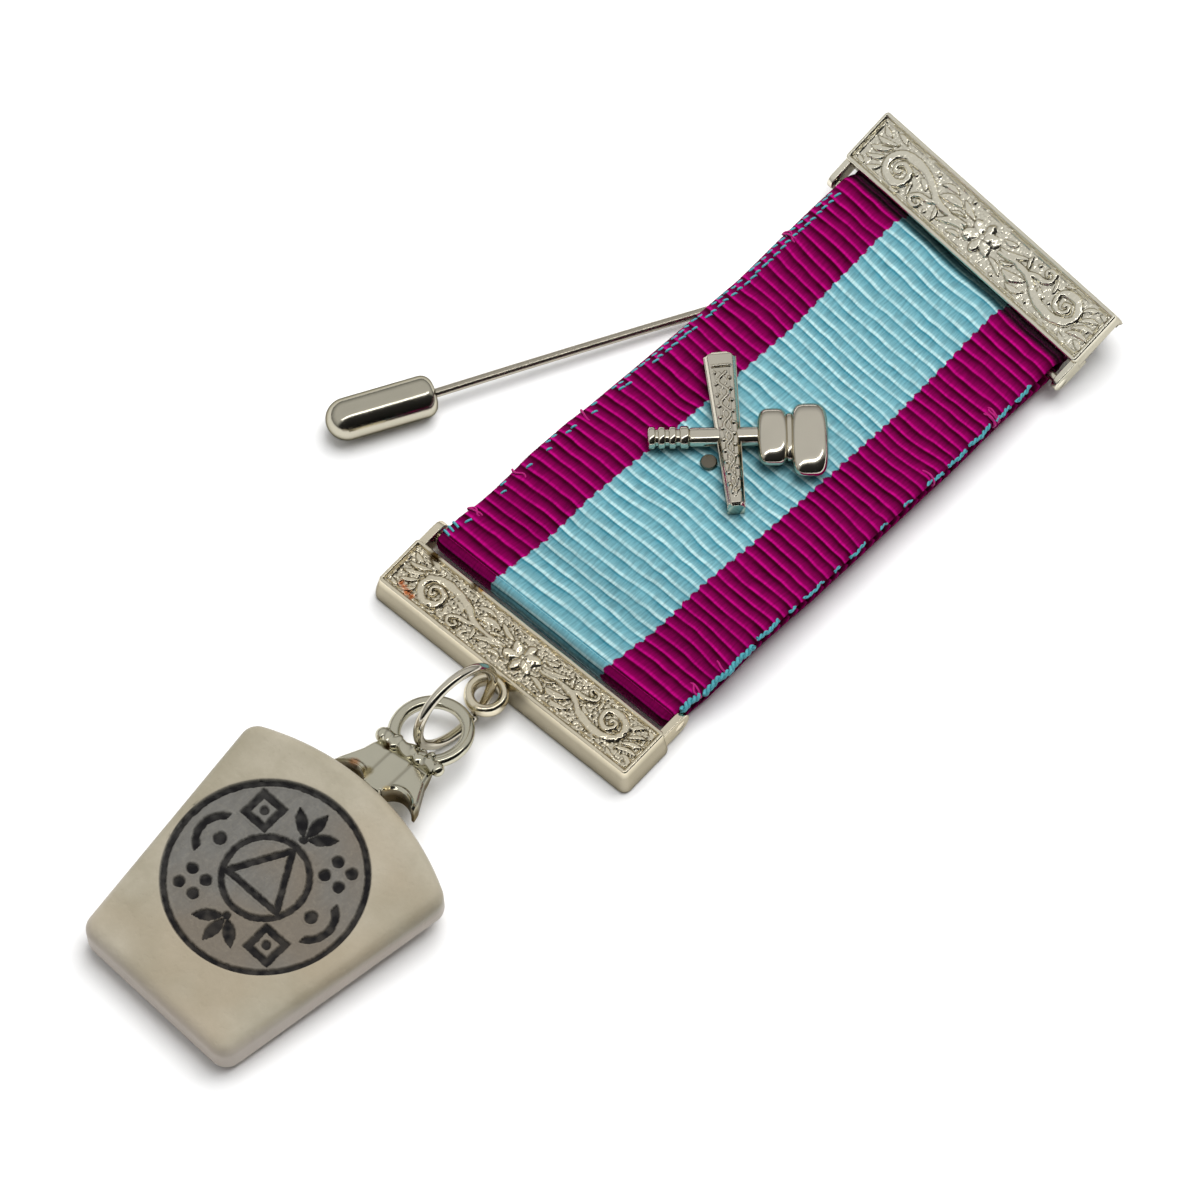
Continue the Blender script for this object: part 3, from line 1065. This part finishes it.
def engraving(x, y):
    """Distance inside the dark lines of the disc, above nought where a line is cut."""
    turned = math.radians(-1.5)
    u = x * math.cos(turned) - y * math.sin(turned)
    v = x * math.sin(turned) + y * math.cos(turned)
    rad = np.hypot(u, v)
    ink = np.maximum(0.34 - np.abs(rad - 10.6), 0.38 - np.abs(rad - 4.6))
    triangle = 4.1 * np.array([[math.cos(a), math.sin(a)] for a in np.radians([90, 210, 330])])
    for k in range(3):
        ink = np.maximum(ink, 0.4 - to_segment(u, v, triangle[k], triangle[(k + 1) % 3])[1])
    # eight marks in the ring, each of four kinds twice
    mark_r, mark_size = 7.55, 1.08
    for k in range(8):
        a = math.radians(45 * k)
        lx = (u * math.cos(a) + v * math.sin(a)) / mark_size
        ly = (-u * math.sin(a) + v * math.cos(a) - mark_r) / mark_size
        mark = np.full(x.shape, -1.0)
        if k % 4 == 0:
            # a spray of three leaves
            for b in np.radians((40, 90, 140)):
                t = np.linspace(0, 1, 7)[:, None]
                way = np.array([math.cos(b), math.sin(b)])
                leaf = Relief(lx, ly)
                leaf.stroke(np.array([0, -1.7]) + 0.3 * way + 3.1 * t * way,
                            np.maximum(0.78 * np.sin(math.pi * t[:, 0]), 0.05), 1.0, power=1.0)
                mark = np.maximum(mark, leaf.h * 0.5 - 0.15)
            mark = np.maximum(mark, 0.45 - np.hypot(lx, ly + 1.7))
        elif k % 4 == 1:
            # a lozenge round a dot
            mark = 0.42 - np.abs(np.abs(lx) + np.abs(ly) - 1.8) / math.sqrt(2)
            mark = np.maximum(mark, 0.5 - np.hypot(lx, ly))
        elif k % 4 == 2:
            # an arc over a dot
            arc = 0.42 - np.abs(np.hypot(lx, ly + 1.2) - 2.54)
            mark = np.maximum(np.where(ly > 0, arc, np.minimum(arc, ly)), 0.7 - np.hypot(lx, ly + 0.9))
        else:
            # four dots
            for b in np.radians((0, 90, 180, 270)):
                mark = np.maximum(mark, 0.64 - np.hypot(lx - 1.3 * math.cos(b), ly - 1.3 * math.sin(b)))
        zone = (np.abs(lx) < 2.8) & (np.abs(ly) < 2.8)
        ink = np.where(zone, np.maximum(ink, mark), ink)
    return ink


def build_stone():
    """The keystone, as rings round the middle of its disc, from the face over the edge to the back."""
    s = Shell()
    centre = np.array([-0.68, -15.03])
    rays, disc_r, edge_r = 560, 10.975, 1.35
    a = angles(rays)

    def hit(inset):
        return ray_hit(stone_outline(inset), centre, a)

    flat = hit(edge_r)
    face_r = [*np.linspace(0.02, disc_r + 0.02, 112), disc_r + 0.12, disc_r + 0.25]
    rows = [(np.minimum(r, flat), STONE_T) for r in face_r]
    rows += [(face_r[-1] + (flat - face_r[-1]) * t, STONE_T) for t in np.linspace(0, 1, 16)[1:]]
    rows += [(hit(edge_r * (1 - math.sin(t))), STONE_T - edge_r * (1 - math.cos(t)))
             for t in quarter(9)[1:]]
    wall = hit(0.0)
    rows += [(wall, z) for z in np.linspace(STONE_T - edge_r, edge_r, 8)[1:]]
    rows += [(hit(edge_r * (1 - math.cos(t))), edge_r * (1 - math.sin(t)))
             for t in quarter(7)[1:]]
    rad = np.array([r for r, _ in rows])
    z = np.repeat([[height] for _, height in rows], rays, 1)
    x, y = rad * np.cos(a), rad * np.sin(a)
    face = z > STONE_T - 0.01
    ink = engraving(x, y) + (0.05 * value_noise(x, y, 0.45, 41) + 0.035 * value_noise(x, y, 0.2, 42))
    cut = smooth(ink / 0.16 + 0.2) * face
    # slight hand-worked unevenness of the face, the sunk disc, the cuts and the burr beside them
    z = z + np.where(face, 0.03 * value_noise(x, y, 3.1, 43) - 0.28 * smooth((disc_r + 0.06 - rad) / 0.14), 0)
    z = z - cut * 0.26 + 0.05 * face * bell(ink, -0.14, 0.07) * (rad < disc_r)
    z = z + np.where(face, 0.012 * value_noise(x, y, 0.5, 44), 0)
    tone = cut * np.clip(0.93 + 0.12 * value_noise(x, y, 0.6, 45), 0, 1)
    pts = np.stack([x + centre[0], y + centre[1], z], -1)
    s.add(STONE, pts, [grid_faces(len(rows), rays, close_v=True)], tone)
    s.add(STONE, pts[-1], [np.arange(rays)[None, ::-1]])
    disc = np.concatenate([smooth((disc_r + 0.1 - rad) / 0.15).ravel(), np.zeros(rays)])
    s.make("keystone_stone", STONE_MATTER, "stone", ["keystone"], smooth_angle=60, disc=disc)


def add_flare(s):
    """The flared plate of the keystone's cap, from its scalloped foot up to the collar."""
    cols, rows = 121, 40
    foot, neck, high, thick = 5.45, 3.5, 5.6, 1.35
    groove_x = 1.42
    q = np.linspace(-1, 1, cols)
    ax = np.abs(q * foot)
    scallop = -1.35 + np.sqrt(np.maximum(2.3 ** 2 - (ax - 3.15) ** 2, 0))
    bottom = np.where(ax < 0.95, -0.4, np.maximum(scallop, -0.15))[None, :]
    y = bottom + (high - bottom) * np.linspace(0, 1, rows)[:, None]
    half = np.interp(np.clip(y / high, 0, 1), [0, 0.14, 0.6, 1], [foot, foot - 0.15, neck + 0.55, neck])
    x = q[None, :] * half
    depth = np.interp(y, [-1.0, high - 1.2, high], [thick, 0.78, 0.36])
    # long grooves, round upper edge and a lip round the scallops
    z = depth - 0.04 * bell(x, -groove_x, 0.2) - 0.04 * bell(x, groove_x, 0.2)
    z -= 0.3 * (1 - smooth((half - np.abs(x)) / 0.35))
    z -= 0.12 * (1 - smooth((y - bottom) / 0.25))
    z += 0.18 * bell(y - bottom, 0.32, 0.16) * smooth((np.abs(x) - 1.5) / 0.3)
    tone = 0.34 * bell(np.abs(x), groove_x, 0.16)
    front, back = np.stack([x, y, z], -1), np.stack([x * 0.97, y, -depth], -1)
    for part, flip in ((front, True), (back, False)):
        s.add(CAP, part, [grid_faces(rows, cols, flip=flip)], tone)
    for f, b, flip in ((front[:, 0], back[:, 0], False), (front[:, -1], back[:, -1], True),
                       (front[0], back[0], True), (front[-1], back[-1], False)):
        strip = np.stack([f + (b - f) * k for k in (0, 0.04, 0.5, 0.96, 1)], 0)
        shade = np.repeat([0.0, 0.15, 0.95, 0.95, 0.5], len(f))
        s.add(CAP, strip, [grid_faces(5, len(f), flip=flip)], shade)


def build_cap():
    s = Shell()
    add_flare(s)
    flare_parts = len(s.points)
    # beaded collar, twisted
    collar_y, collar_z = 5.8, 0.7
    bar = np.linspace(-3.55, 3.8, 190)
    swell = np.full(len(bar), 0.67)
    for tall, wide, places in ((0.09, 0.36, (-2.75, -1.75, 0.5, 1.5, 2.6)),
                               (-0.05, 0.16, (-2.25, -1.2, 1.02, 2.08))):
        for b in places:
            swell = swell + tall * bell(bar, b, wide)
    a = angles(28)[None, :]
    twist = 0.1 * np.cos(2 * a - bar[:, None] * 3.3)
    r = swell[:, None] + twist
    pts = np.stack([np.broadcast_to(bar[:, None], r.shape), 1.15 * r * np.cos(a), 0.8 * r * np.sin(a)], -1)
    valley = np.maximum(np.clip(-twist - 0.04, 0, 0.1), 0.3 * bell(a, 0.35, 0.2))
    collar = CAP @ move(0, collar_y, collar_z) @ turn("z", -1.6)
    s.add(collar, pts, [grid_faces(*r.shape, close_v=True, flip=True)], valley)
    for x, ball_r in ((-3.5, 0.84), (3.9, 0.76)):
        s.add(collar, *ball((x, 0, -0.2), ball_r, 16, 28))
    flat_ring(s, CAP @ move(0, 9.45, -0.1), 9.2, 6.4, 1.35, 84)
    # below the collar the loop is sunk in the plate
    loop = placed(np.linalg.inv(CAP), s.points[-1])
    loop[:, 2] = np.where(loop[:, 1] < collar_y, np.clip(loop[:, 2], -0.3, 0.3), loop[:, 2])
    s.points[-1] = placed(CAP, loop)
    # three nubs where the loop meets the collar
    for x, y, nub_r in ((0.55, 6.62, 0.36), (1.35, 6.6, 0.4), (2.35, 6.7, 0.5)):
        pts, faces = ball((0, 0, 0), nub_r, 10, 18)
        s.add(CAP @ move(x, y, 0.5), pts * (1.0, 0.9, 1.0), faces)
    # the peg in the stone
    peg = lathe([(-0.4, 0.65), (3.0, 0.65), (3.0, 0.01)], 24)
    s.add(STONE @ move(0, 0.1, STONE_T / 2) @ turn("x", 90), *peg)
    # the feet follow the stone's arched top
    inverse = np.linalg.inv(STONE)
    for k in range(flare_parts):
        local = placed(inverse, s.points[k])
        local[:, 1] += np.maximum(ARCH_R + 0.06 - np.hypot(local[:, 0], local[:, 1] + ARCH_R), 0)
        s.points[k] = placed(STONE, local)
    s.make("keystone_cap_metal", CAP_METAL, "polished_metal", ["keystone_cap"], smooth_angle=50)


# Floor, light and camera
def link(name, data):
    obj = bpy.data.objects.new(name, data)
    bpy.context.scene.collection.objects.link(obj)
    return obj


def aim(obj, place, target):
    obj.location = place
    obj.rotation_euler = (Vector(target) - Vector(place)).to_track_quat("-Z", "Y").to_euler()


def build_stage():
    size = 4.0
    mesh = bpy.data.meshes.new("floor")
    mesh.from_pydata([(-size, -size, 0), (size, -size, 0), (size, size, 0), (-size, size, 0)], [],
                     [(0, 1, 2, 3)])
    floor = link("floor", mesh)
    mat, _, shader = new_material("floor_paper")
    shader["Base Color"].default_value = (0.93, 0.93, 0.93, 1)
    shader["Roughness"].default_value = 0.9
    shader["Specular IOR Level"].default_value = 0.1
    mesh.materials.append(mat)


def area_light(name, place, size, power):
    data = bpy.data.lights.new(name, "AREA")
    data.shape = "RECTANGLE"
    data.size, data.size_y = size
    data.energy = power
    light = link(name, data)
    aim(light, place, (0, 0.01, 0))
    return light


def build_lights():
    # a broad soft light from above, and a narrow strip that only draws bright lines on the metal
    key = area_light("key", (-0.03, 0.33, 1.0), (0.8, 0.8), 11.5)
    key.visible_glossy = False
    line = area_light("line", (0.26, -0.07, 1.0), (1.8, 0.09), 2.4)
    line.visible_diffuse = False


def build_camera():
    data = bpy.data.cameras.new("camera")
    data.lens = 330
    data.sensor_width = 36
    data.clip_start = 0.05
    cam = link("camera", data)
    aim(cam, (0.365, -0.3507, 1.0362), (-0.000318, 0.014594, 0))
    bpy.context.scene.camera = cam


def build_world():
    """A light tent over the table and behind it, open and dark towards the viewer's side."""
    world = bpy.data.worlds.new("world")
    bpy.context.scene.world = world
    world.use_nodes = True
    g = Graph(world.node_tree)
    background = world.node_tree.nodes["Background"].inputs
    at = g.node("ShaderNodeTexCoord").outputs["Generated"]
    side = g.node("ShaderNodeVectorMath", operation="DOT_PRODUCT")
    g.link(at, side.inputs[0])
    side.inputs[1].default_value = (0.944, -0.33, 0.0)
    tent = g.ramp(side.outputs["Value"], [(0.0, 1.0), (0.22, 1.0), (0.34, 0.45), (0.44, 0.05), (1.0, 0.02)])
    low = g.ramp(g.split(at)[2], [(0.0, 0.25), (0.2, 0.6), (0.5, 1.0)])
    g.link(g.mix(1.0, tent, low, "MULTIPLY"), background["Color"])
    background["Strength"].default_value = 0.66


build_camera()
build_stage()
build_world()
build_bottom_bar()
build_top_bar()
build_threads(*build_ribbon())
build_emblem()
build_pin()
build_ring()
build_stone()
build_cap()
build_lights()
bpy.context.scene.view_settings.view_transform = "Standard"
